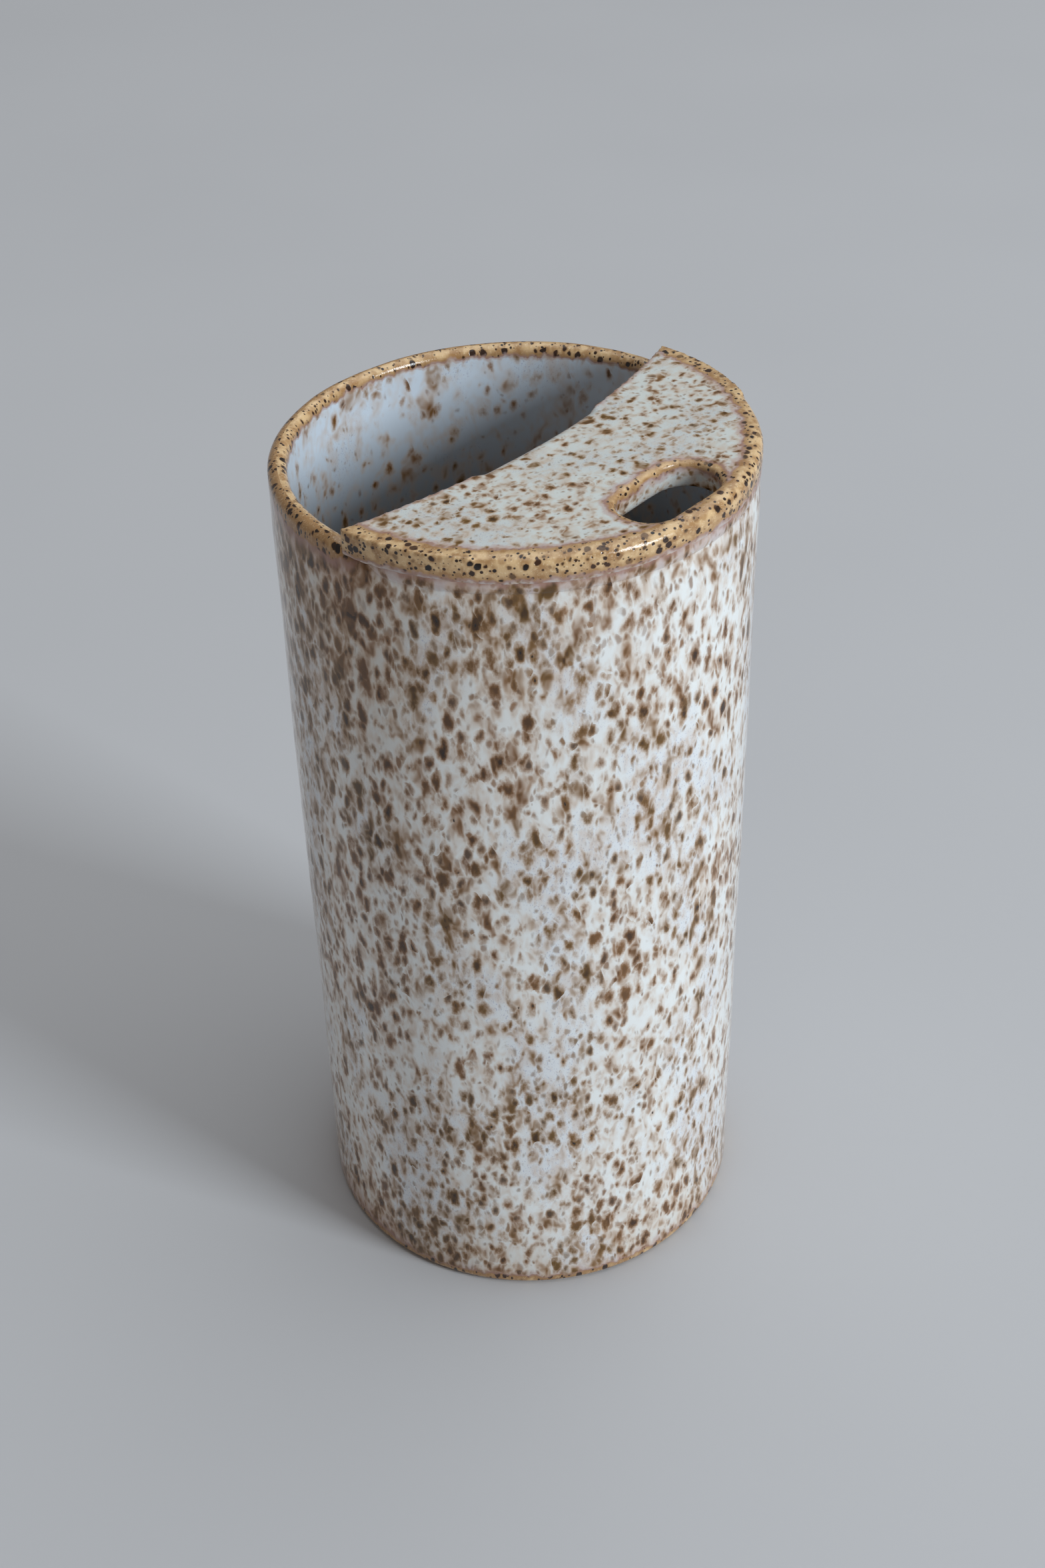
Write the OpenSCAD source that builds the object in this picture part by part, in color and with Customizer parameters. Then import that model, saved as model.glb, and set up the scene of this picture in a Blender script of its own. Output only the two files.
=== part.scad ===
// Cylindrical stoneware bud vase. A half-moon clay plate is luted over part of
// its mouth, and an oval slot for a single stem is cut through the plate beside
// the rim. The origin is the centre of the foot, +Z runs up the vessel's axis,
// and the plate and its slot lie on the -Y side.

/* [Vessel] */
// Outer radius at the rim
rim_r = 40; // [30:0.5:60]
// Height of the rim above the table
rim_h = 157.2; // [90:0.1:220]
// Thickness of the wall
wall_t = 3.2; // [2.4:0.1:5]
// How much less the radius is at the foot than at the rim
foot_draw = 0.5; // [0:0.1:3]

/* [Foot] */
// Thickness of the floor disc inside the wall
floor_t = 5; // [3:0.1:9]
// Rounding of the wall's lower edge
foot_round = 1.6; // [0.5:0.1:2.8]
// Leg of the clay coil pressed into the corner between floor and wall
coil_leg = 4; // [2:0.1:8]

/* [Half-moon plate] */
// Thickness of the plate
plate_t = 4.6; // [3.6:0.1:8]
// Height of the plate's top above the rim
plate_rise = 2.8; // [1:0.1:3.2]
// Radius of the long curved-in edge that faces the open mouth
edge_r = 140; // [100:1:400]
// Distance of the middle of that edge from the vessel's axis
edge_setback = 5.2; // [2:0.1:10]
// Rounding of the plate's two noses, seen from above
nose_r = 3.5; // [2.5:0.1:6]
// Rounding of the plate's upper edges
plate_round = 2; // [0.5:0.1:2.4]
// Chamfer on each side of the seam groove between plate and wall
groove = 0.8; // [0.4:0.1:1.1]
// Gap between each nose and the end of the cut in the wall that the plate sits in
nose_gap = 0.4; // [0.2:0.1:1]

/* [Stem slot] */
// Clear width of the slot, measured towards the rim
slot_w = 10.5; // [6:0.1:14]
// Clear length of the slot, measured along the rim
slot_l = 20; // [16:0.1:28]
// Clay left between the slot and the line of the wall's inside
slot_gap = 0.4; // [0.2:0.1:4]
// Rounding of the slot's upper and lower lips
slot_round = 1.1; // [0.4:0.1:1.6]

/* [Glaze bead] */
// Depth below flush of the glaze that has pooled in the seam groove
bead_sink = 0.2; // [0.1:0.05:0.3]

/* [Hidden] */
$fn = 96;
past = 1;                                  // how far a cutter runs past a face
half_turn = 180;

clay = [0.70, 0.52, 0.38];
glazed = [0.80, 0.83, 0.84];
plate_glazed = [0.74, 0.76, 0.78];
pooled_glaze = [0.62, 0.72, 0.80];

foot_r = rim_r - foot_draw;
round_z = rim_h - wall_t / 2;              // the wall runs straight up to here, where the rim's rounding starts
plate_top = rim_h + plate_rise;
seat_z = plate_top - plate_t;              // the wall is cut down to this height for the plate

// Outer and inner radius of the wall at height z
function out_r(z) = foot_r + foot_draw * z / round_z;
function in_r(z) = out_r(z) - wall_t;

// The curved-in edge is an arc about edge_centre. Each nose is an arc that
// touches the rim's circle from inside and the curved-in edge's from outside.
edge_centre = [0, edge_r - edge_setback];
nose_reach = rim_r - nose_r;
nose_y = (pow(nose_reach, 2) - pow(edge_r + nose_r, 2) + pow(edge_centre.y, 2)) / (2 * edge_centre.y);
nose_centre = [sqrt(pow(nose_reach, 2) - pow(nose_y, 2)), nose_y];
nose_on_rim = nose_centre * nose_r / nose_reach;
nose_on_edge = (edge_centre - nose_centre) * nose_r / (edge_r + nose_r);
seat_end = nose_y + nose_r + nose_gap;
corner_span = 3;                           // the corner cutter's side, in nose radii
nose_step = 0.02;                          // how far the nose stays inside the crescent's faces
coil_toe = 0.5;                            // thickness the coil thins out to on the floor and the wall

slot_y = -(in_r(round_z) - slot_gap - slot_w / 2);
slot_end_x = (slot_l - slot_w) / 2;

// Section of a plate edge: a slab from radius 0 to r, its top rounded and its
// bottom chamfered at radius r
module edge_section(r) {
    difference() {
        translate([0, seat_z]) square([r, plate_t]);
        translate([r - plate_round, plate_top - plate_round]) square(plate_round + past);
        polygon([[r - groove, seat_z], [r + past, seat_z + groove + past],
                 [r + past, seat_z - past], [r - groove, seat_z - past]]);
    }
    intersection() {
        translate([r - plate_round, plate_top - plate_round]) circle(r = plate_round);
        translate([r - plate_round, plate_top - plate_round]) square(plate_round + past);
    }
}

// The corners of the crescent, outside the two noses
module corner_cutters() {
    for (side = [0, 1])
        mirror([side, 0])
            polygon([nose_centre,
                     nose_centre + corner_span * nose_on_rim,
                     nose_centre + corner_span * (nose_on_rim + nose_on_edge),
                     nose_centre + corner_span * nose_on_edge]);
}

// A rounded end of the crescent, a hair inside the faces that it runs into
module nose() {
    translate(nose_centre) rotate_extrude() edge_section(nose_r - nose_step);
}

// Everything outside the curved-in edge, with that edge rounded like the others
module outside_curved_edge() {
    translate(edge_centre)
        rotate_extrude($fn = 4 * $fn)
            translate([edge_r + rim_r, 0])
                mirror([1, 0]) edge_section(rim_r);
}

// Section of the slot's lip: what is cut away beyond the clear opening
module lip_section(r) {
    difference() {
        translate([0, plate_top - slot_round]) square([r + slot_round, slot_round + past]);
        translate([r + slot_round, plate_top - slot_round]) circle(r = slot_round);
    }
}

// One rounded lip all round the slot, at the plate's top
module slot_lip() {
    for (side = [-1, 1])
        translate([side * slot_end_x, slot_y]) rotate_extrude() lip_section(slot_w / 2);
    for (side = [0, 1])
        translate([-slot_end_x, slot_y]) mirror([0, side])
            rotate([90, 0, 90])
                linear_extrude(2 * slot_end_x) lip_section(slot_w / 2);
}

module stem_slot() {
    through = plate_t + 2 * past;
    for (side = [-1, 1])
        translate([side * slot_end_x, slot_y, seat_z - past]) cylinder(d = slot_w, h = through);
    translate([-slot_end_x, slot_y - slot_w / 2, seat_z - past]) cube([2 * slot_end_x, slot_w, through]);
    slot_lip();
    translate([0, 0, 2 * plate_top - plate_t]) mirror([0, 0, 1]) slot_lip();
}

// Floor disc: the slab that closes the foot, set inside the wall
module base_disc() {
    color(clay) cylinder(r1 = in_r(0), r2 = in_r(floor_t), h = floor_t);
}

// The half-space on the plate's side, from height z up to above the rim
module plate_side(z) {
    translate([-rim_r - past, -rim_r - past, z])
        cube([2 * (rim_r + past), rim_r + past + seat_end, plate_top + past - z]);
}

// Where the plate beds into the wall, with the wall's half of the seam groove
module plate_seat() {
    plate_side(seat_z);
    intersection() {
        plate_side(seat_z - groove - 2 * past);
        rotate_extrude()
            polygon([[rim_r - groove, seat_z], [rim_r + past, seat_z - groove - past],
                     [rim_r + past, seat_z + past], [rim_r - groove, seat_z + past]]);
    }
}

// Wall: a cylinder with a rounded foot and a fully rounded rim, cut down where the plate sits
module wall_cylinder() {
    heel = out_r(foot_round) - foot_round;
    color(glazed) difference() {
        rotate_extrude() {
            polygon([[in_r(0), 0], [heel, 0], [heel, foot_round], [out_r(foot_round), foot_round],
                     [rim_r, round_z], [rim_r - wall_t, round_z]]);
            intersection() {
                translate([heel, foot_round]) circle(r = foot_round);
                translate([heel, 0]) square(foot_round);
            }
            translate([rim_r - wall_t / 2, round_z]) circle(d = wall_t);
        }
        plate_seat();
    }
}

// Coil: a fillet of clay worked into the corner between floor and wall
module floor_coil() {
    corner_r = in_r(floor_t);
    color(clay) rotate_extrude()
        difference() {
            polygon([[corner_r - coil_leg, floor_t], [corner_r, floor_t],
                     [in_r(floor_t + coil_leg), floor_t + coil_leg],
                     [corner_r - coil_leg, floor_t + coil_leg]]);
            translate([corner_r - coil_leg, floor_t + coil_leg]) circle(r = coil_leg - coil_toe);
        }
}

// Plate: a crescent slab with rounded edges and noses, and the stem slot in it
module half_moon_plate() {
    color(plate_glazed) difference() {
        union() {
            intersection() {
                difference() {
                    rotate_extrude() edge_section(rim_r);
                    translate([0, 0, seat_z - past]) linear_extrude(plate_t + 2 * past) corner_cutters();
                }
                outside_curved_edge();
            }
            for (side = [0, 1])
                mirror([side, 0, 0]) nose();
        }
        stem_slot();
    }
}

// Bead of glaze that has run into the seam groove, a little below flush
module seam_glaze() {
    start = asin((seat_end - nose_gap) / rim_r);
    flush = rim_r - bead_sink;
    color(pooled_glaze)
        rotate(half_turn - start)
            rotate_extrude(angle = half_turn + 2 * start)
                polygon([[rim_r - groove, seat_z], [flush, seat_z + groove - bead_sink],
                         [flush - bead_sink, seat_z], [flush, seat_z - groove + bead_sink]]);
}

base_disc();
wall_cylinder();
floor_coil();
half_moon_plate();
seam_glaze();
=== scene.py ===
from math import cos, pi, radians, sin, sqrt

import bpy
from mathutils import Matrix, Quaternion, Vector


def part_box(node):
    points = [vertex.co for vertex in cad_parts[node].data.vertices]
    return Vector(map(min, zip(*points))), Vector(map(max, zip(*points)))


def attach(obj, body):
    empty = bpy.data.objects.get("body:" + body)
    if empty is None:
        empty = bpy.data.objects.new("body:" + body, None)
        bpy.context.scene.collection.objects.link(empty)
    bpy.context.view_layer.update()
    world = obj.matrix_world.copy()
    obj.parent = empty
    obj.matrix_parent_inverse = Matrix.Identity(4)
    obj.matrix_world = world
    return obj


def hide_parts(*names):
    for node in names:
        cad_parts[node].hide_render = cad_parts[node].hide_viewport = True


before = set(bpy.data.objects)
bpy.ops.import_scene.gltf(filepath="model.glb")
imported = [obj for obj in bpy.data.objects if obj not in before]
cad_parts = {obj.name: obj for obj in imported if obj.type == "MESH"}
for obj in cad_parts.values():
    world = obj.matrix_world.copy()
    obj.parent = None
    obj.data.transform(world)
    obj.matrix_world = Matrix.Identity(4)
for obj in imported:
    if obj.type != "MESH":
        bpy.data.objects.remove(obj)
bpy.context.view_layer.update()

# ---------------------------------------------------------------- the wall
# A thrown stoneware cylinder, 80 mm across and 3.2 mm thick, its rim rounded with a wet
# leather. It is glazed inside and out, and lower by 1.7 mm where the plate beds into it.

MM = 0.001
rim_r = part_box("wall_cylinder")[1].x
rim_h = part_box("wall_cylinder")[1].z
plate_low, plate_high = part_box("half_moon_plate")
wall_t = 3.2 * MM
shrink = 0.22 * MM                       # room for the hand-made wobble inside the turned size
foot_draw = 0.5 * MM                     # how much narrower the foot is than the rim
foot_round = 1.6 * MM
ring_step = 2.2 * MM
wall_steps = 280
seat_drop = 1.7 * MM                     # how far the rim is cut down under the plate
seat_end_y = plate_high.y - 1.1 * MM
seat_gap = 0.1 * MM                      # the lowered rim ends this far inside the plate
shoulder_draw = 0.992                    # the wall is drawn in a little below the plate
ease_out = 5 * MM                        # how far the lowering and drawing in fade out


def turned(name, profile, steps, ring=True):
    """A piece turned round Z from a profile of (radius, height) points, as on a wheel. The
    profile of a ring is closed, and any other begins and ends on the axis."""
    bpy.ops.object.select_all(action="DESELECT")
    bpy.ops.mesh.primitive_plane_add(size=1 * MM, location=(profile[0][0], 0, profile[0][1]))
    piece = bpy.context.object
    piece.name = piece.data.name = name
    bpy.ops.object.mode_set(mode="EDIT")
    bpy.ops.mesh.merge(type="CENTER")
    for (r0, z0), (r1, z1) in zip(profile, profile[1:] + profile[:ring]):
        bpy.ops.mesh.extrude_region_move(TRANSFORM_OT_translate={"value": (r1 - r0, 0, z1 - z0)})
    bpy.ops.mesh.select_all(action="SELECT")
    bpy.ops.mesh.remove_doubles(threshold=0.001 * MM)
    bpy.ops.mesh.spin(steps=steps, angle=2 * pi, center=(0, 0, 0), axis=(0, 0, 1))
    bpy.ops.mesh.select_all(action="SELECT")
    bpy.ops.mesh.remove_doubles(threshold=0.001 * MM)
    bpy.ops.mesh.normals_make_consistent(inside=False)
    bpy.ops.object.mode_set(mode="OBJECT")
    bpy.ops.object.transform_apply(location=True, rotation=True, scale=True)
    return piece


def arc(centre_r, centre_z, radius, first, last, count):
    """Profile points along an arc, from the first angle to the last, in degrees."""
    turns = [radians(first + (last - first) * i / count) for i in range(count + 1)]
    return [(centre_r + radius * cos(a), centre_z + radius * sin(a)) for a in turns]


def straight(low, high, step):
    """Profile points between two ends, the ends left out."""
    count = round(abs(high[1] - low[1]) / step)
    return [(low[0] + (high[0] - low[0]) * i / count, low[1] + (high[1] - low[1]) * i / count)
            for i in range(1, count)]


def wall_profile():
    """The wall's section: rounded foot, outside, rolled rim and inside."""
    outer = rim_r - shrink
    lip = wall_t / 2
    foot = arc(outer - foot_draw - foot_round, foot_round, foot_round, -90, 0, 6)
    rim = arc(outer - lip, rim_h - lip, lip, 0, 180, 14)
    inner_foot = (outer - foot_draw - wall_t, 0)
    return (foot + straight(foot[-1], rim[0], ring_step) + rim
            + straight(rim[-1], inner_foot, ring_step) + [inner_foot])


def add_modifier(piece, kind, name, **settings):
    """Adds a modifier, sets it up and applies it."""
    modifier = piece.modifiers.new(name, kind)
    for key, value in settings.items():
        setattr(modifier, key, value)
    bpy.context.view_layer.objects.active = piece
    bpy.ops.object.modifier_apply(modifier=name)


def wobble(piece, size, amount, group=""):
    """The unevenness that hands leave: a soft swelling and sinking of the surface."""
    clouds = bpy.data.textures.new(piece.name + "_wobble", "CLOUDS")
    clouds.noise_scale = size
    clouds.noise_depth = 1
    add_modifier(piece, "DISPLACE", "wobble", texture=clouds, texture_coords="LOCAL",
                 direction="NORMAL", strength=2 * amount, mid_level=0.5, vertex_group=group)


def keep_group(piece, name, keep):
    """A vertex group of the points that keep() picks by their place."""
    group = piece.vertex_groups.new(name=name)
    group.add([v.index for v in piece.data.vertices if keep(v.co)], 1.0, "REPLACE")


def pick_points(piece, keep):
    """Selects the points that keep() picks by their place."""
    bpy.ops.object.mode_set(mode="EDIT")
    bpy.ops.mesh.select_mode(type="VERT")
    bpy.ops.mesh.select_all(action="DESELECT")
    bpy.ops.object.mode_set(mode="OBJECT")
    for vertex in piece.data.vertices:
        vertex.select = keep(vertex.co)
    bpy.ops.object.mode_set(mode="EDIT")


def push_softly(reach, way):
    """Moves the picked points, and those round them less and less, like wet clay."""
    bpy.ops.transform.translate(value=way, use_proportional_edit=True, use_proportional_connected=True,
                                proportional_edit_falloff="SMOOTH", proportional_size=reach)
    bpy.ops.object.mode_set(mode="OBJECT")


def draw_in_softly(reach, share):
    """Draws the picked points in towards the axis, and those round them less and less."""
    bpy.ops.transform.resize(value=(share, share, 1), center_override=(0, 0, 0), use_proportional_edit=True,
                             use_proportional_connected=True, proportional_edit_falloff="SMOOTH",
                             proportional_size=reach)
    bpy.ops.object.mode_set(mode="OBJECT")


def smooth(piece):
    """Shades the piece without facets."""
    bpy.ops.object.select_all(action="DESELECT")
    piece.select_set(True)
    bpy.context.view_layer.objects.active = piece
    bpy.ops.object.shade_smooth()


wall = turned("vessel_wall", wall_profile(), wall_steps)
pick_points(wall, lambda p: p.z > rim_h - seat_drop and p.y < seat_end_y)
push_softly(ease_out, (0, 0, plate_low.z + seat_gap - rim_h))
pick_points(wall, lambda p: p.z > plate_low.z - 1 * MM and p.y < seat_end_y)
draw_in_softly(ease_out, shoulder_draw)
keep_group(wall, "above_foot", lambda p: p.z > 3 * MM)
wobble(wall, 32 * MM, 0.28 * MM, "above_foot")
wobble(wall, 9 * MM, 0.07 * MM, "above_foot")
smooth(wall)


class Wire:
    """A value in a material's node tree. Arithmetic on it adds the Math nodes that work it out."""

    def __init__(self, tree, socket):
        self.tree, self.socket = tree, socket

    def math(self, operation, *values):
        node = self.tree.nodes.new("ShaderNodeMath")
        node.operation = operation
        for slot, value in zip(node.inputs, values):
            plug(self.tree, slot, value)
        return Wire(self.tree, node.outputs[0])

    def also(self, output):
        """Another output of the node that this value comes from."""
        return Wire(self.tree, self.socket.node.outputs[output])

    def __add__(self, other):
        return self.math("ADD", self, other)

    def __radd__(self, other):
        return self.math("ADD", other, self)

    def __sub__(self, other):
        return self.math("SUBTRACT", self, other)

    def __rsub__(self, other):
        return self.math("SUBTRACT", other, self)

    def __mul__(self, other):
        return self.math("MULTIPLY", self, other)

    def __rmul__(self, other):
        return self.math("MULTIPLY", other, self)

    def __truediv__(self, other):
        return self.math("DIVIDE", self, other)

    def __rtruediv__(self, other):
        return self.math("DIVIDE", other, self)

    def __pow__(self, other):
        return self.math("POWER", self, other)

    def __rpow__(self, other):
        return self.math("POWER", other, self)

    def __abs__(self):
        return self.math("ABSOLUTE", self)

    def lowest(self, other):
        return self.math("MINIMUM", self, other)

    def highest(self, other):
        return self.math("MAXIMUM", self, other)


def plug(tree, slot, value):
    """A socket takes another's output, or a plain number or colour."""
    if isinstance(value, Wire):
        tree.links.new(value.socket, slot)
    else:
        slot.default_value = (*value, 1.0) if slot.type == "RGBA" and len(value) == 3 else value


class Finish:
    """One material being mixed: a node tree, and the few kinds of node that the finishes need."""

    def __init__(self, name):
        self.material = bpy.data.materials.new(name)
        self.material.use_nodes = True
        self.tree = self.material.node_tree
        self.tree.nodes.clear()

    def node(self, kind, settings=(), values=(), output=0):
        """Any node: its settings are set first, then its sockets by name or number."""
        node = self.tree.nodes.new("ShaderNode" + kind)
        for key, value in dict(settings).items():
            setattr(node, key, value)
        for key, value in dict(values).items():
            plug(self.tree, node.inputs[key], value)
        return Wire(self.tree, node.outputs[output]) if node.outputs else None

    def place(self, stretch=(1, 1, 1)):
        """The point on the piece in millimetres, and the pattern's place, stretched."""
        spot = self.node("TexCoord", output="Object")
        spot = self.node("VectorMath", {"operation": "SCALE"}, {0: spot, "Scale": 1 / MM})
        x = self.node("SeparateXYZ", values={0: spot})
        stretched = self.node("VectorMath", {"operation": "MULTIPLY"}, {0: spot, 1: stretch})
        return (x, x.also(1), x.also(2)), stretched

    def noise(self, spot, size, detail=1.0, rough=0.5, shift=0.0):
        """Soft clouds of about that size in millimetres, from 0 to 1."""
        if shift:
            spot = self.shift(spot, shift, shift * 0.7, -shift)
        return self.node("TexNoise", values={"Vector": spot, "Scale": 1 / size, "Detail": detail,
                                             "Roughness": rough})

    def stir(self, spot, size, amount):
        """The pattern's place pushed about, so that what it draws gets ragged edges."""
        push = self.node("TexNoise", values={"Vector": spot, "Scale": 1 / size, "Detail": 1.0},
                         output="Color")
        push = self.node("VectorMath", {"operation": "SUBTRACT"}, {0: push, 1: (0.5, 0.5, 0.5)})
        push = self.node("VectorMath", {"operation": "SCALE"}, {0: push, "Scale": 2 * amount})
        return self.node("VectorMath", {"operation": "ADD"}, {0: spot, 1: push})

    def spots(self, spot, spacing, radius, crowd=0.0):
        """How deep a point lies in the nearest of the spots strewn at that spacing and how
        far it is from the spot's middle, in millimetres, and two chance values of the spot."""
        cell = self.node("TexVoronoi", values={"Vector": spot, "Scale": 1 / spacing}, output="Color")
        luck = self.node("SeparateColor", values={0: cell})
        away = cell.also("Distance") * spacing
        widest = spacing * 0.47          # so that no spot reaches the edge of its cell
        reach = ((luck * 0.75 + 0.25 + crowd) * radius).lowest(widest)
        return reach - away, away, luck.also(1), luck.also(2)

    def dots(self, spot, spacing, radius, soft=0.08):
        """Dots up to that radius strewn at that spacing, as a mask."""
        return self.ease(self.spots(spot, spacing, radius)[0], -soft, soft)

    def shift(self, spot, *far):
        """The pattern's place moved, for a pattern that is like another but elsewhere."""
        return self.node("VectorMath", {"operation": "ADD"}, {0: spot, 1: far})

    def ease(self, value, low, high):
        """0 below low and 1 above high, eased between them."""
        return self.node("MapRange", {"interpolation_type": "SMOOTHSTEP"},
                         {"Value": value, "From Min": low, "From Max": high})

    def mix(self, factor, first, second):
        """The first colour turning into the second as the factor goes from 0 to 1."""
        return self.node("Mix", {"data_type": "RGBA"}, {0: factor, 6: first, 7: second}, 2)

    def fire(self, colour, roughness, height=None, **fixed):
        """The finished surface, with its relief in millimetres."""
        sockets = {"Base Color": colour, "Roughness": roughness, **fixed}
        if height is not None:
            relief = {"Height": height, "Distance": MM, "Strength": 1.0}
            sockets["Normal"] = self.node("Bump", values=relief)
        shader = self.node("BsdfPrincipled", values=sockets)
        self.node("OutputMaterial", values={"Surface": shader})
        return self.material


milk = (0.83, 0.86, 0.86)
pearl = (0.72, 0.76, 0.815)
# painted shade on the wall's side away from the window, and the darkening towards the foot
darker_milk = (0.56, 0.49, 0.40)
frost = (0.34, 0.37, 0.52)
flush = (0.60, 0.42, 0.28)
rust = (0.195, 0.080, 0.018)
olive = (0.17, 0.080, 0.004)
sienna = (0.34, 0.165, 0.055)
umber = (0.034, 0.012, 0.002)
iron_black = (0.012, 0.008, 0.007)
toast = (0.69, 0.475, 0.255)
ochre = (0.36, 0.19, 0.075)
sugar = (0.88, 0.72, 0.48)
rose = (0.36, 0.205, 0.165)
mauve = (0.53, 0.41, 0.385)
grit_brown = (0.055, 0.022, 0.010)
glaze_ior = 1.52


def speckled(finish, spot, thin, crowd, size, bleed, base, tinge=pearl, toast_and_shade=0.0):
    """The glaze: milky, with rust spots where iron bleeds through from the clay, and thin
    and browned by the fire along edges. thin is how far inside the thin band a point lies, in
    millimetres; crowd makes the spots fuller (above 0) or sparser (below 0) and size makes
    the whole pattern of spots coarser; bleed is how far the mauve runs out from the thin
    band, and toast_and_shade how brown the band is: the fire's toasting, plus painted shade
    where the outside glaze raises it on the side away from the window. base and tinge are the milk's two
    tones."""
    bled = finish.stir(finish.stir(spot, 2.6 * size, 0.9 * size), 0.9 * size, 0.22 * size)
    big, from_big, big_tint, big_strength = finish.spots(bled, 2.6 * size, 1.20 * size, crowd)
    middling, _, _, middling_strength = finish.spots(
        finish.shift(bled, 11.7, 3.1, 23.9), 1.95 * size, 0.92 * size, crowd)
    small, _, _, small_strength = finish.spots(
        finish.shift(bled, 31.3, 17.9, 5.1), 1.25 * size, 0.52 * size, crowd)
    fuzz = (finish.noise(spot, 1.4 * size, 3.0, 0.62, 9.0) - 0.5) * 1.7 * size
    blots = (finish.noise(bled, 2.8 * size, 2.0, 0.5, 63.0) + crowd * 0.16 - 0.60) * 4.5 * size
    big, middling, small = (big + fuzz).highest(blots), middling + fuzz * 0.8, small + fuzz * 0.4
    patches = finish.noise(spot, 13, 2.0, 0.5, 7.0)
    pepper = finish.noise(spot, 0.26, 1.0, 0.6, 3.0)
    smears = finish.noise(spot, 2.6 * size, 2.0, 0.55, 57.0)

    ground = finish.mix(finish.ease(patches, 0.45, 0.68) * 0.7, base, tinge)
    peppered = finish.ease(pepper, 0.57, 0.72) * finish.ease(patches, 0.47, 0.62)
    ground = finish.mix(peppered * 0.55, ground, frost)
    ground = finish.mix(finish.ease(smears, 0.52, 0.72) * 0.30, ground, flush)
    fray = finish.noise(spot, 2.2, 2.0, 0.6, 11.0) - 0.5
    inside = thin + fray * 2.6
    ground = finish.mix(finish.ease(inside, -3.1 * bleed, -1.5 * bleed) * 0.75, ground, mauve)
    halo = finish.ease(big, -0.75 * size, 0.35 * size).highest(
        finish.ease(middling, -0.5 * size, 0.3 * size) * 0.8)
    ground = finish.mix(halo * 0.62, ground, flush)
    brown = finish.mix(finish.ease(patches, 0.42, 0.58), rust, olive)
    brown = finish.mix(big_strength * 0.45, brown, sienna)
    stain = (finish.ease(big, -0.22 * size, 0.62 * size) * 0.97).highest(
        finish.ease(middling, -0.18 * size, 0.5 * size) * (middling_strength * 0.25 + 0.72)).highest(
        finish.ease(small, -0.12 * size, 0.34 * size) * (small_strength * 0.4 + 0.5))
    ground = finish.mix(stain, ground, brown)
    core = (finish.ease(big, 0.25 * size, 0.95 * size) * (big_tint * 0.6 + 0.4)).highest(
        finish.ease(middling, 0.25 * size, 0.80 * size) * 0.75)
    ground = finish.mix(core, ground, umber)
    pinholes = (1 - finish.ease(from_big, 0.09, 0.22)) * finish.ease(big_strength, 0.55, 0.6)
    ground = finish.mix(pinholes * 0.95, ground, iron_black)

    band = finish.ease(inside, -0.25, 0.35)
    lip = finish.ease(inside, -1.3 * bleed, -0.15)
    sand = finish.noise(spot, 0.30, 2.0, 0.7, 5.0)
    warmth = finish.noise(spot, 2.3, 2.0, 0.6, 17.0)
    clay = finish.mix(finish.ease(warmth + toast_and_shade, 0.42, 0.68) * 0.85, toast, ochre)
    clay = finish.mix(finish.ease(sand, 0.54, 0.70) * 0.45, clay, sugar)
    clay = finish.mix((1 - finish.ease(inside, 0.1, 1.3)) * 0.65, clay, ochre)
    grit = finish.stir(spot, 0.7, 0.2)
    stuck, _, stuck_tint, stuck_strength = finish.spots(grit, 1.35, 0.78)
    clay = finish.mix(finish.ease(stuck, -0.30, 0.2) * 0.6, clay, ochre)
    iron = (finish.ease(stuck, -0.02, 0.16) * finish.ease(stuck_strength, 0.2, 0.5)).highest(
        finish.dots(spot, 0.80, 0.30, 0.06))
    clay = finish.mix(iron, clay, finish.mix(stuck_tint, grit_brown, iron_black))
    ground = finish.mix(lip * (fray * 1.2 + 0.75), ground, rose)
    colour = finish.mix(band, ground, clay)

    roughness = 0.075 + band * (0.04 + sand * 0.08) + stain * 0.03
    ripple = finish.noise(spot, 1.5, 1.0, 0.5, 77.0)
    height = (patches * 0.10 + ripple * 0.010 + band * (sand * 0.035 - 0.03) - pinholes * 0.04
              - stain * 0.012 - iron * band * 0.03)
    return colour, roughness, height


rim_band = 2.7                           # in millimetres, as all lengths in the glazes
foot_band = 2.2
shade_way = Vector((-0.659, 0.752))     # towards the camera's left, away from the window light, where shade is painted into the glaze


def outside(finish):
    """The glaze as it lies on the outside: its colour, roughness and relief at every point."""
    (x, y, z), spot = finish.place(stretch=(1, 1, 0.54))
    under_plate = 1 - finish.ease(y, -4, 0)
    rim_thin = z - (rim_h / MM - rim_band) - under_plate * (seat_drop / MM)
    foot_thin = foot_band - z
    # how far a point lies towards the side away from the window: the spots crowd a little there, and the
    # milk and the tan band are painted darker there as shade
    shade_side = (y * shade_way.y + x * shade_way.x) / (rim_r / MM)
    drift = finish.noise(spot, 17, 1.0, 0.5, 41.0) - 0.5
    upper_wall = finish.ease(z, 95, 152)
    lower_wall = 1 - finish.ease(z, 2, 34)
    below_rim = finish.ease(z, 138, 156) * (1 - under_plate)
    crowd = (upper_wall * 0.17 + lower_wall * 0.20 + shade_side * 0.09 + drift * 0.75 + 0.04
             + below_rim * 0.45)
    bleed = 1.02 + (1 - under_plate) * 0.8 - (1 - finish.ease(z, 1, 6)) * 0.9
    # painted shade: the upper wall's milk turns darker on the side away from the window light; the milk
    # also darkens towards the foot
    painted_side_shade = finish.ease(shade_side + drift * 1.6, -0.35, 0.75) * finish.ease(z, 100, 150) * 0.55
    base = finish.mix(painted_side_shade.highest((1 - finish.ease(z, 3, 22)) * 0.35), milk, darker_milk)
    # painted shade: on the side away from the window the tan band is browner, on top of the wall's own
    # toasting of 0.15
    return speckled(finish, spot, rim_thin.highest(foot_thin), crowd + painted_side_shade * 0.35, 1.0, bleed, base,
                    toast_and_shade=shade_side * 0.16 + 0.15)


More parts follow.
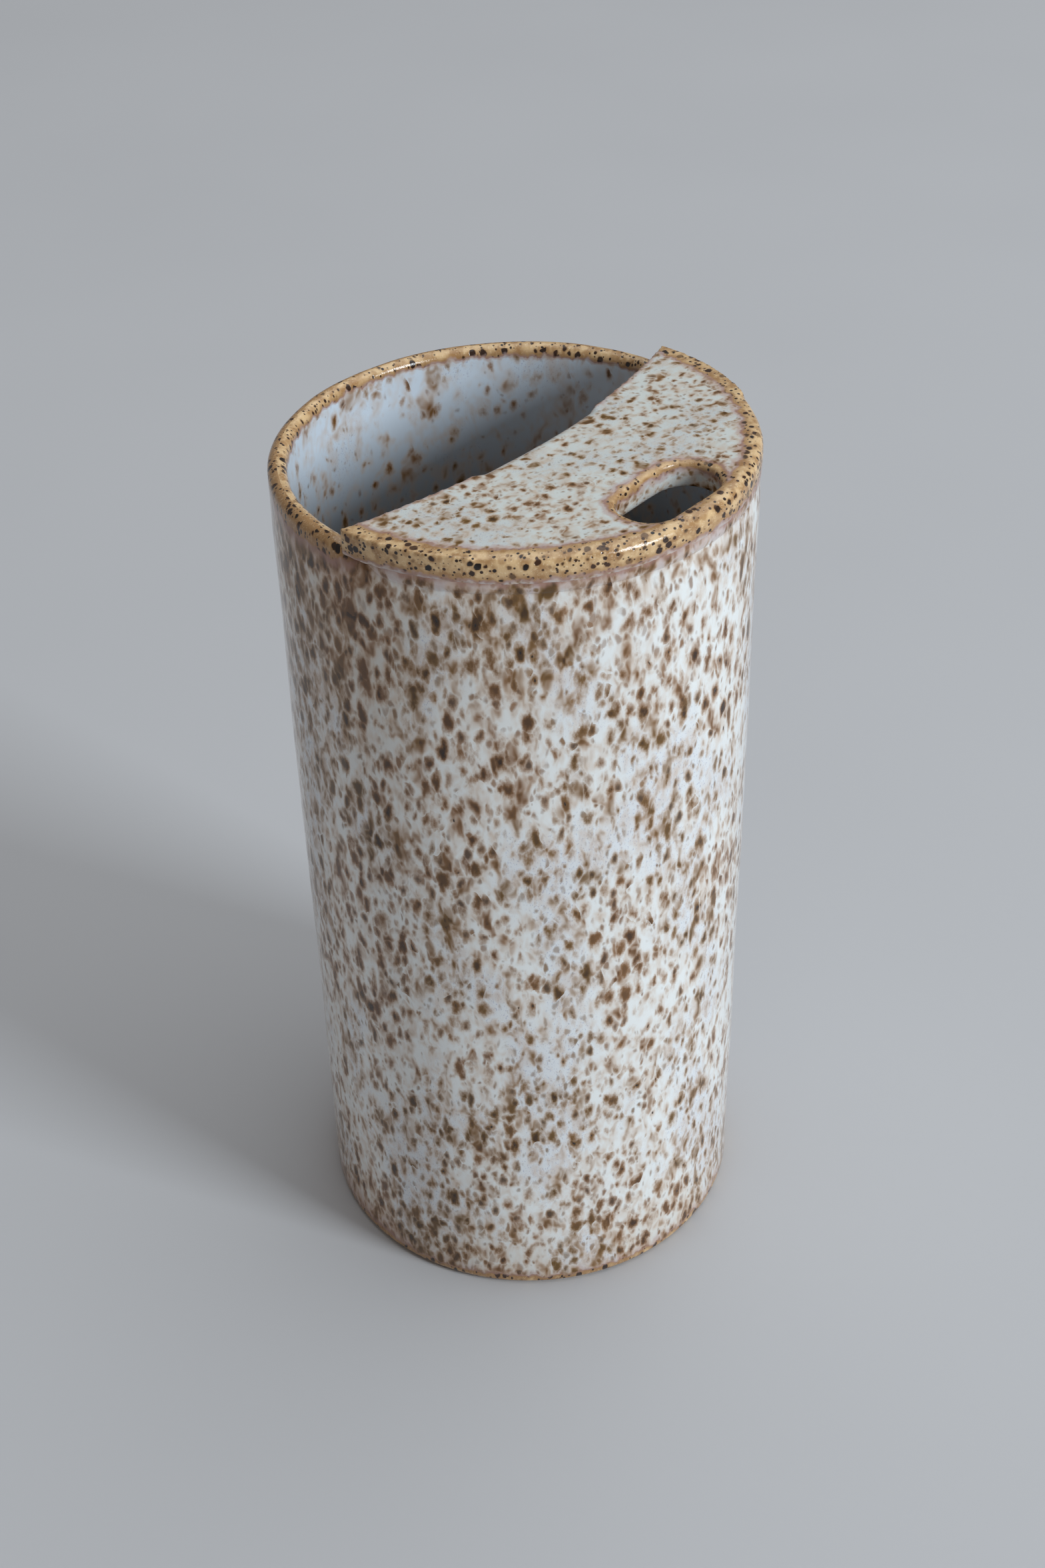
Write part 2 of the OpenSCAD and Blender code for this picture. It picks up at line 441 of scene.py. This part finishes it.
def outer_glaze():
    """Milky glaze that breaks tan at rim and foot."""
    finish = Finish("outer_glaze")
    return finish.fire(*outside(finish), IOR=glaze_ior)


inside_blue = (0.68, 0.77, 0.87)
# the colour of the painted shade deep inside the cup
inside_painted_shade = (0.078, 0.070, 0.058)


def inner_glaze():
    """Thicker and bluer than outside, and painted darker further down, as the shade deep in the cup."""
    finish = Finish("inner_glaze")
    (_, _, z), spot = finish.place(stretch=(1, 1, 0.68))
    rim_thin = z - (rim_h - wall_t / 2) / MM
    drift = finish.noise(spot, 17, 1.0, 0.5, 41.0) - 0.5
    # painted shade: the glaze darkens from the rim down into the cup, and the floor disc's top and the
    # coil, which share it, lie fully in it
    base = finish.mix(1 - finish.ease(z, 110, 154), inside_blue, inside_painted_shade)
    pattern = speckled(finish, spot, rim_thin, drift * 0.6 - 0.26, 1.35, 0.25, base, base)
    return finish.fire(*pattern, IOR=glaze_ior)


pot_inside = inner_glaze()
wall.data.materials.append(outer_glaze())
wall.data.materials.append(pot_inside)
glaze_border_r = rim_r - wall_t * 0.55
for face in wall.data.polygons:
    inside = sqrt(face.center.x ** 2 + face.center.y ** 2) < glaze_border_r
    face.material_index = int(inside and face.center.z > 1 * MM)
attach(wall, "root")
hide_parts("wall_cylinder")

# ---------------------------------------------------------------- the floor disc
# A slab of the same clay that closes the foot. Its top is glazed with the inside, and
# its underside is bare, wiped clean so that it doesn't stick to the kiln shelf.

disc_low, disc_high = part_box("base_disc")
disc_r = -disc_low.x - 0.17 * MM
disc_lift = 0.02 * MM                    # how far the ring that it stands on is off the table
disc_hollow = 0.35 * MM                  # the middle of the underside is a little higher


def disc_profile():
    """The slab's section, from the middle of the underside to the middle of the top."""
    return [(0, disc_hollow), (disc_r * 0.5, disc_hollow), (disc_r - 5 * MM, disc_hollow),
            (disc_r - 3.5 * MM, disc_lift), (disc_r - 0.6 * MM, disc_lift), (disc_r, 0.5 * MM),
            (disc_r, disc_high.z), (disc_r * 0.6, disc_high.z), (0, disc_high.z)]


disc = turned("floor_disc", disc_profile(), 96, ring=False)

buff = (0.50, 0.33, 0.19)
tan_clay = (0.38, 0.23, 0.13)
pale_grain = (0.66, 0.50, 0.34)
iron_speck = (0.05, 0.025, 0.015)


def bare_clay():
    """Sandy stoneware that the fire has turned buff, with specks of iron."""
    finish = Finish("bare_clay")
    _, spot = finish.place()
    grain = finish.noise(spot, 0.45, 3.0, 0.7)
    cloud = finish.noise(spot, 9, 2.0, 0.5, 3.0)
    colour = finish.mix(finish.ease(cloud, 0.35, 0.65), buff, tan_clay)
    colour = finish.mix(finish.ease(grain, 0.55, 0.75) * 0.5, colour, pale_grain)
    specks = finish.dots(finish.stir(spot, 0.7, 0.25), 2.2, 0.7)
    colour = finish.mix(specks, colour, iron_speck)
    return finish.fire(colour, 0.62 + grain * 0.25, grain * 0.08)


disc.data.materials.append(bare_clay())
disc.data.materials.append(pot_inside)
for face in disc.data.polygons:
    face.material_index = int(face.center.z > disc_high.z - 0.1 * MM)
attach(disc, "root")
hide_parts("base_disc")

# ---------------------------------------------------------------- the floor coil
# A thin coil of clay worked into the bottom corner with a finger, under the inner glaze.

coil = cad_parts["floor_coil"]
coil.data.materials.clear()
coil.data.materials.append(pot_inside)

# ---------------------------------------------------------------- the half-moon plate
# A crescent cut from a rolled slab, 4.6 mm thick, with an oval slot for one stem. Its
# edges are sponged round, and it is luted with slip into the cut in the wall's rim.

edge_r = 140 * MM
edge_setback = 5.2 * MM
edge_centre_y = edge_r - edge_setback
nose_r = 3.5 * MM
slot_w, slot_l, slot_gap = 10.5 * MM, 20 * MM, 0.4 * MM
slot_y = -(rim_r - wall_t - slot_gap - slot_w / 2)
slot_end_x = (slot_l - slot_w) / 2
slot_lip = 1.4 * MM
plate_r = rim_r - 0.1 * MM
plate_t = plate_high.z - plate_low.z
plate_mid = (plate_high.z + plate_low.z) / 2
plate_round = 1.8 * MM
plate_skin = 0.40 * MM


def cut_with(piece, cutter):
    """Cuts the cutter's shape out of the piece, and the cutter is gone."""
    add_modifier(piece, "BOOLEAN", "cut", operation="DIFFERENCE", object=cutter, solver="EXACT")
    bpy.data.objects.remove(cutter)


def knit(piece, step):
    """Joins all the piece's parts in one closed skin."""
    add_modifier(piece, "REMESH", "skin", mode="VOXEL", voxel_size=step, use_smooth_shade=True)


def round_bar(name, radius, depth, place, vertices):
    """An upright bar."""
    bpy.ops.object.select_all(action="DESELECT")
    bpy.ops.mesh.primitive_cylinder_add(vertices=vertices, radius=radius, depth=depth, location=place)
    bar = bpy.context.object
    bar.name = name
    bpy.ops.object.transform_apply(location=True, rotation=True, scale=True)
    return bar


def pick_sharp_edges(piece, keep):
    """Selects the sharp edges that keep() picks by their two ends."""
    bpy.ops.object.mode_set(mode="EDIT")
    bpy.ops.mesh.select_mode(type="EDGE")
    bpy.ops.mesh.select_all(action="DESELECT")
    bpy.ops.mesh.edges_select_sharp(sharpness=radians(50))
    bpy.ops.object.mode_set(mode="OBJECT")
    points = piece.data.vertices
    picked = [edge.index for edge in piece.data.edges
              if edge.select and keep(*(points[i].co for i in edge.vertices))]
    bpy.ops.object.mode_set(mode="EDIT")
    bpy.ops.mesh.select_all(action="DESELECT")
    bpy.ops.object.mode_set(mode="OBJECT")
    for index in picked:
        piece.data.edges[index].select = True
    bpy.ops.object.mode_set(mode="EDIT")


def round_top(piece, radius):
    """Rolls the piece's top edge over."""
    pick_sharp_edges(piece, lambda a, b: min(a.z, b.z) > plate_high.z - 0.1 * MM)
    bpy.ops.mesh.bevel(offset=radius, segments=6, affect="EDGES")
    bpy.ops.object.mode_set(mode="OBJECT")


def slot_cutter():
    """A bar with round ends, as long and wide as the slot."""
    bar = round_bar("slot_cutter", slot_w / 2, 3 * plate_t, (0, slot_y, plate_mid), 48)
    for side in (-1, 1):
        pick_points(bar, lambda p: p.x * side > 0.1 * MM)
        bpy.ops.transform.translate(value=(side * slot_end_x, 0, 0))
        bpy.ops.object.mode_set(mode="OBJECT")
    return bar


def near_slot(point):
    """Whether a point lies in the slot or on the lip round it."""
    past_end = max(abs(point.x) - slot_end_x, 0)
    return sqrt(past_end ** 2 + (point.y - slot_y) ** 2) < slot_w / 2 + slot_lip


plate = round_bar("moon_plate", plate_r, plate_t, (0, 0, plate_mid), 220)
cut_with(plate, round_bar("edge_cutter", edge_r, 3 * plate_t, (0, edge_centre_y, plate_mid), 720))
nose_reach = plate_r - nose_r
nose_y = (nose_reach ** 2 - (edge_r + nose_r) ** 2 + edge_centre_y ** 2) / (2 * edge_centre_y)
nose_x = sqrt(nose_reach ** 2 - nose_y ** 2)
for side in (-1, 1):
    middle = Vector((side * nose_x, nose_y, 0))
    on_rim = middle + middle.normalized() * nose_r
    on_edge = middle + (Vector((0, edge_centre_y, 0)) - middle).normalized() * nose_r
    bpy.ops.object.select_all(action="DESELECT")
    bpy.context.view_layer.objects.active = plate
    bpy.ops.object.mode_set(mode="EDIT")
    bpy.ops.mesh.select_all(action="SELECT")
    bpy.ops.mesh.bisect(plane_co=on_rim, plane_no=(on_rim - on_edge).cross(Vector((0, 0, -side))),
                        use_fill=True, clear_outer=True)
    bpy.ops.object.mode_set(mode="OBJECT")
round_top(plate, plate_round)
for side in (-1, 1):
    nose = round_bar("nose", nose_r, plate_t, (side * nose_x, nose_y, plate_mid), 48)
    round_top(nose, plate_round)
    bpy.ops.object.select_all(action="DESELECT")
    nose.select_set(True)
    plate.select_set(True)
    bpy.context.view_layer.objects.active = plate
    bpy.ops.object.join()
knit(plate, plate_skin)
cut_with(plate, slot_cutter())
knit(plate, plate_skin)
keep_group(plate, "slot_lip", lambda p: near_slot(p) and p.z > plate_high.z - slot_lip)
add_modifier(plate, "SMOOTH", "finger", factor=0.5, iterations=30, vertex_group="slot_lip")
add_modifier(plate, "SMOOTH", "sponge", factor=0.5, iterations=8)
wobble(plate, 16 * MM, 0.16 * MM)
wobble(plate, 4 * MM, 0.05 * MM)
smooth(plate)

plate_milk = (0.67, 0.71, 0.69)
plate_pearl = (0.58, 0.615, 0.62)


def plate_glaze():
    """The same glaze, a little greyer, thin on the outer edge, round the slot and at the noses."""
    finish = Finish("plate_glaze")
    (x, y, z), spot = finish.place(stretch=(0.85, 1, 1))
    radius = (x * x + y * y) ** 0.5
    from_edge = (x * x + (y - edge_centre_y / MM) ** 2) ** 0.5 - edge_r / MM
    past_end = (abs(x) - slot_end_x / MM).highest(0.0)
    from_slot = (past_end * past_end + (y - slot_y / MM) ** 2) ** 0.5 - slot_w / 2 / MM
    below_top = plate_high.z / MM - z
    rim_thin = (radius - (rim_r / MM - 2.9)).lowest(3.5 - below_top)
    slot_thin = (1.1 - from_slot).lowest(1.1 - below_top)
    edge_thin = 0.15 - from_edge * 1.4
    thin = rim_thin.highest(slot_thin).highest(edge_thin)
    drift = finish.noise(spot, 15, 1.0, 0.5, 23.0) - 0.5
    pattern = speckled(finish, spot, thin, drift * 0.6 - 0.06, 0.85, 0.5, plate_milk, plate_pearl, 0.01)
    return finish.fire(*pattern, IOR=glaze_ior)


plate.data.materials.append(plate_glaze())
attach(plate, "root")
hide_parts("half_moon_plate")

# ---------------------------------------------------------------- the glaze in the seam
# Glaze that ran into the groove between plate and wall while it was molten, sagged a
# little, and pooled thick and milky by the plate's two noses.

bead_r = 1.45 * MM
bead_out = rim_r - 0.12 * MM             # the outermost radius of the run of glaze
bead_z = plate_low.z - 0.10 * MM
bead_tall = 1.6                          # it sagged to this many times its width
bead_half_turn = radians(86)
bead_end_y = -3.4 * MM
pool_r = 0.95 * MM
pool_x, pool_y, pool_z = rim_r - 1.9 * MM, -0.7 * MM, plate_low.z + 1.1 * MM
pool_milk = (0.58, 0.59, 0.57)

bpy.ops.object.select_all(action="DESELECT")
bpy.ops.mesh.primitive_circle_add(vertices=20, radius=bead_r, fill_type="NGON",
                                  location=(0, bead_r - bead_out, bead_z), rotation=(0, pi / 2, 0))
bead = bpy.context.object
bead.name = bead.data.name = "seam_bead"
bpy.ops.object.transform_apply(location=True, rotation=True, scale=True)
bpy.ops.object.mode_set(mode="EDIT")
bpy.ops.mesh.select_all(action="SELECT")
bpy.ops.transform.rotate(value=-bead_half_turn, orient_axis="Z", center_override=(0, 0, 0))
bpy.ops.mesh.spin(steps=150, angle=2 * bead_half_turn, center=(0, 0, 0), axis=(0, 0, 1))
bpy.ops.mesh.select_all(action="SELECT")
bpy.ops.transform.resize(value=(1, 1, bead_tall), center_override=(0, 0, bead_z))
bpy.ops.object.mode_set(mode="OBJECT")
pick_points(bead, lambda p: p.y > bead_end_y)
push_softly(5 * MM, (0, 0, -1.1 * MM))
pick_points(bead, lambda p: p.y > bead_end_y)
draw_in_softly(6 * MM, 0.975)
for side in (-1, 1):
    bpy.ops.object.select_all(action="DESELECT")
    bpy.ops.mesh.primitive_uv_sphere_add(segments=24, ring_count=14, radius=pool_r,
                                         location=(side * pool_x, pool_y, pool_z))
    pool = bpy.context.object
    bpy.ops.object.transform_apply(location=True, rotation=True, scale=True)
    bead.select_set(True)
    bpy.context.view_layer.objects.active = bead
    bpy.ops.object.join()
knit(bead, 0.30 * MM)
add_modifier(bead, "SMOOTH", "settled", factor=0.5, iterations=5)
smooth(bead)


def pooled_glaze():
    """The wall's glaze running on, and milky where it pooled."""
    finish = Finish("pooled_glaze")
    (x, y, z), _ = finish.place()
    colour, roughness, height = outside(finish)
    from_pool = ((abs(x) - pool_x / MM) ** 2 + (y - pool_y / MM) ** 2 + (z - pool_z / MM) ** 2) ** 0.5
    pool = 1 - finish.ease(from_pool, 0.9, 1.5)
    colour = finish.mix(pool * 0.85, colour, pool_milk)
    return finish.fire(colour, roughness, height, IOR=glaze_ior)


bead.data.materials.append(pooled_glaze())
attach(bead, "root")
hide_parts("seam_glaze")

# ---------------------------------------------------------------- the studio
# A plain pale sweep of table, a big soft window light from the right, and a lens of
# 50 mm looking down into the mouth.

bpy.ops.object.select_all(action="DESELECT")
bpy.ops.mesh.primitive_plane_add(size=6, location=(0, 0, 0))
table = bpy.context.object
table.name = "table"

table_dim = (0.52, 0.525, 0.545)
table_bright = (0.55, 0.555, 0.575)


def pale_table():
    """Matt pale grey, very slightly uneven."""
    finish = Finish("pale_table")
    _, spot = finish.place()
    return finish.fire(finish.mix(finish.noise(spot, 120, 2.0), table_dim, table_bright), 0.85)


table.data.materials.append(pale_table())

camera_azimuth, camera_rise = radians(-48.8), radians(28.08)
camera_tilt, camera_roll = radians(-8.81), radians(-1.44)
camera_reach = 8.868 * rim_r
camera_right = Vector((cos(camera_azimuth), sin(camera_azimuth), 0))
camera_away = Vector((-sin(camera_azimuth), cos(camera_azimuth), 0))
back = Vector((0, 0, sin(camera_rise))) - camera_away * cos(camera_rise)
lens = bpy.data.cameras.new("camera")
lens.lens, lens.sensor_width = 50, 36
lens.clip_start, lens.clip_end = 0.01, 20
camera = bpy.data.objects.new("camera", lens)
bpy.context.scene.collection.objects.link(camera)
camera.location = Vector((0, 0, rim_h)) + back * camera_reach
camera.rotation_mode = "QUATERNION"
camera.rotation_quaternion = ((-back).to_track_quat("-Z", "Y") @ Quaternion((1, 0, 0), camera_tilt)
                              @ Quaternion((0, 0, 1), camera_roll))
bpy.context.scene.camera = camera
daylight = (0.88, 0.95, 1.0)
light_aim = Vector((0, 0, 0.09))


def soft_light(name, across, away, up, width, height, power):
    """A rectangular light, placed as seen from the camera: across to the right, away and up."""
    bpy.ops.object.light_add(type="AREA")
    light = bpy.context.object
    light.name = name
    light.data.shape, light.data.size, light.data.size_y = "RECTANGLE", width, height
    light.data.energy, light.data.color = power, daylight
    light.location = camera_right * across + camera_away * away + Vector((0, 0, up))
    light.rotation_euler = (light.location - light_aim).to_track_quat("Z", "Y").to_euler()


soft_light("window", 2.2, -1.35, 1.25, 0.75, 0.95, 56)
soft_light("skylight", 0.7, 0.5, 2.5, 3.2, 3.2, 38)
room = bpy.data.worlds.new("room")
room.use_nodes = True
room.node_tree.nodes["Background"].inputs["Color"].default_value = (1.0, 0.94, 0.89, 1)
room.node_tree.nodes["Background"].inputs["Strength"].default_value = 0.23
bpy.context.scene.world = room
bpy.context.scene.view_settings.view_transform = "Standard"
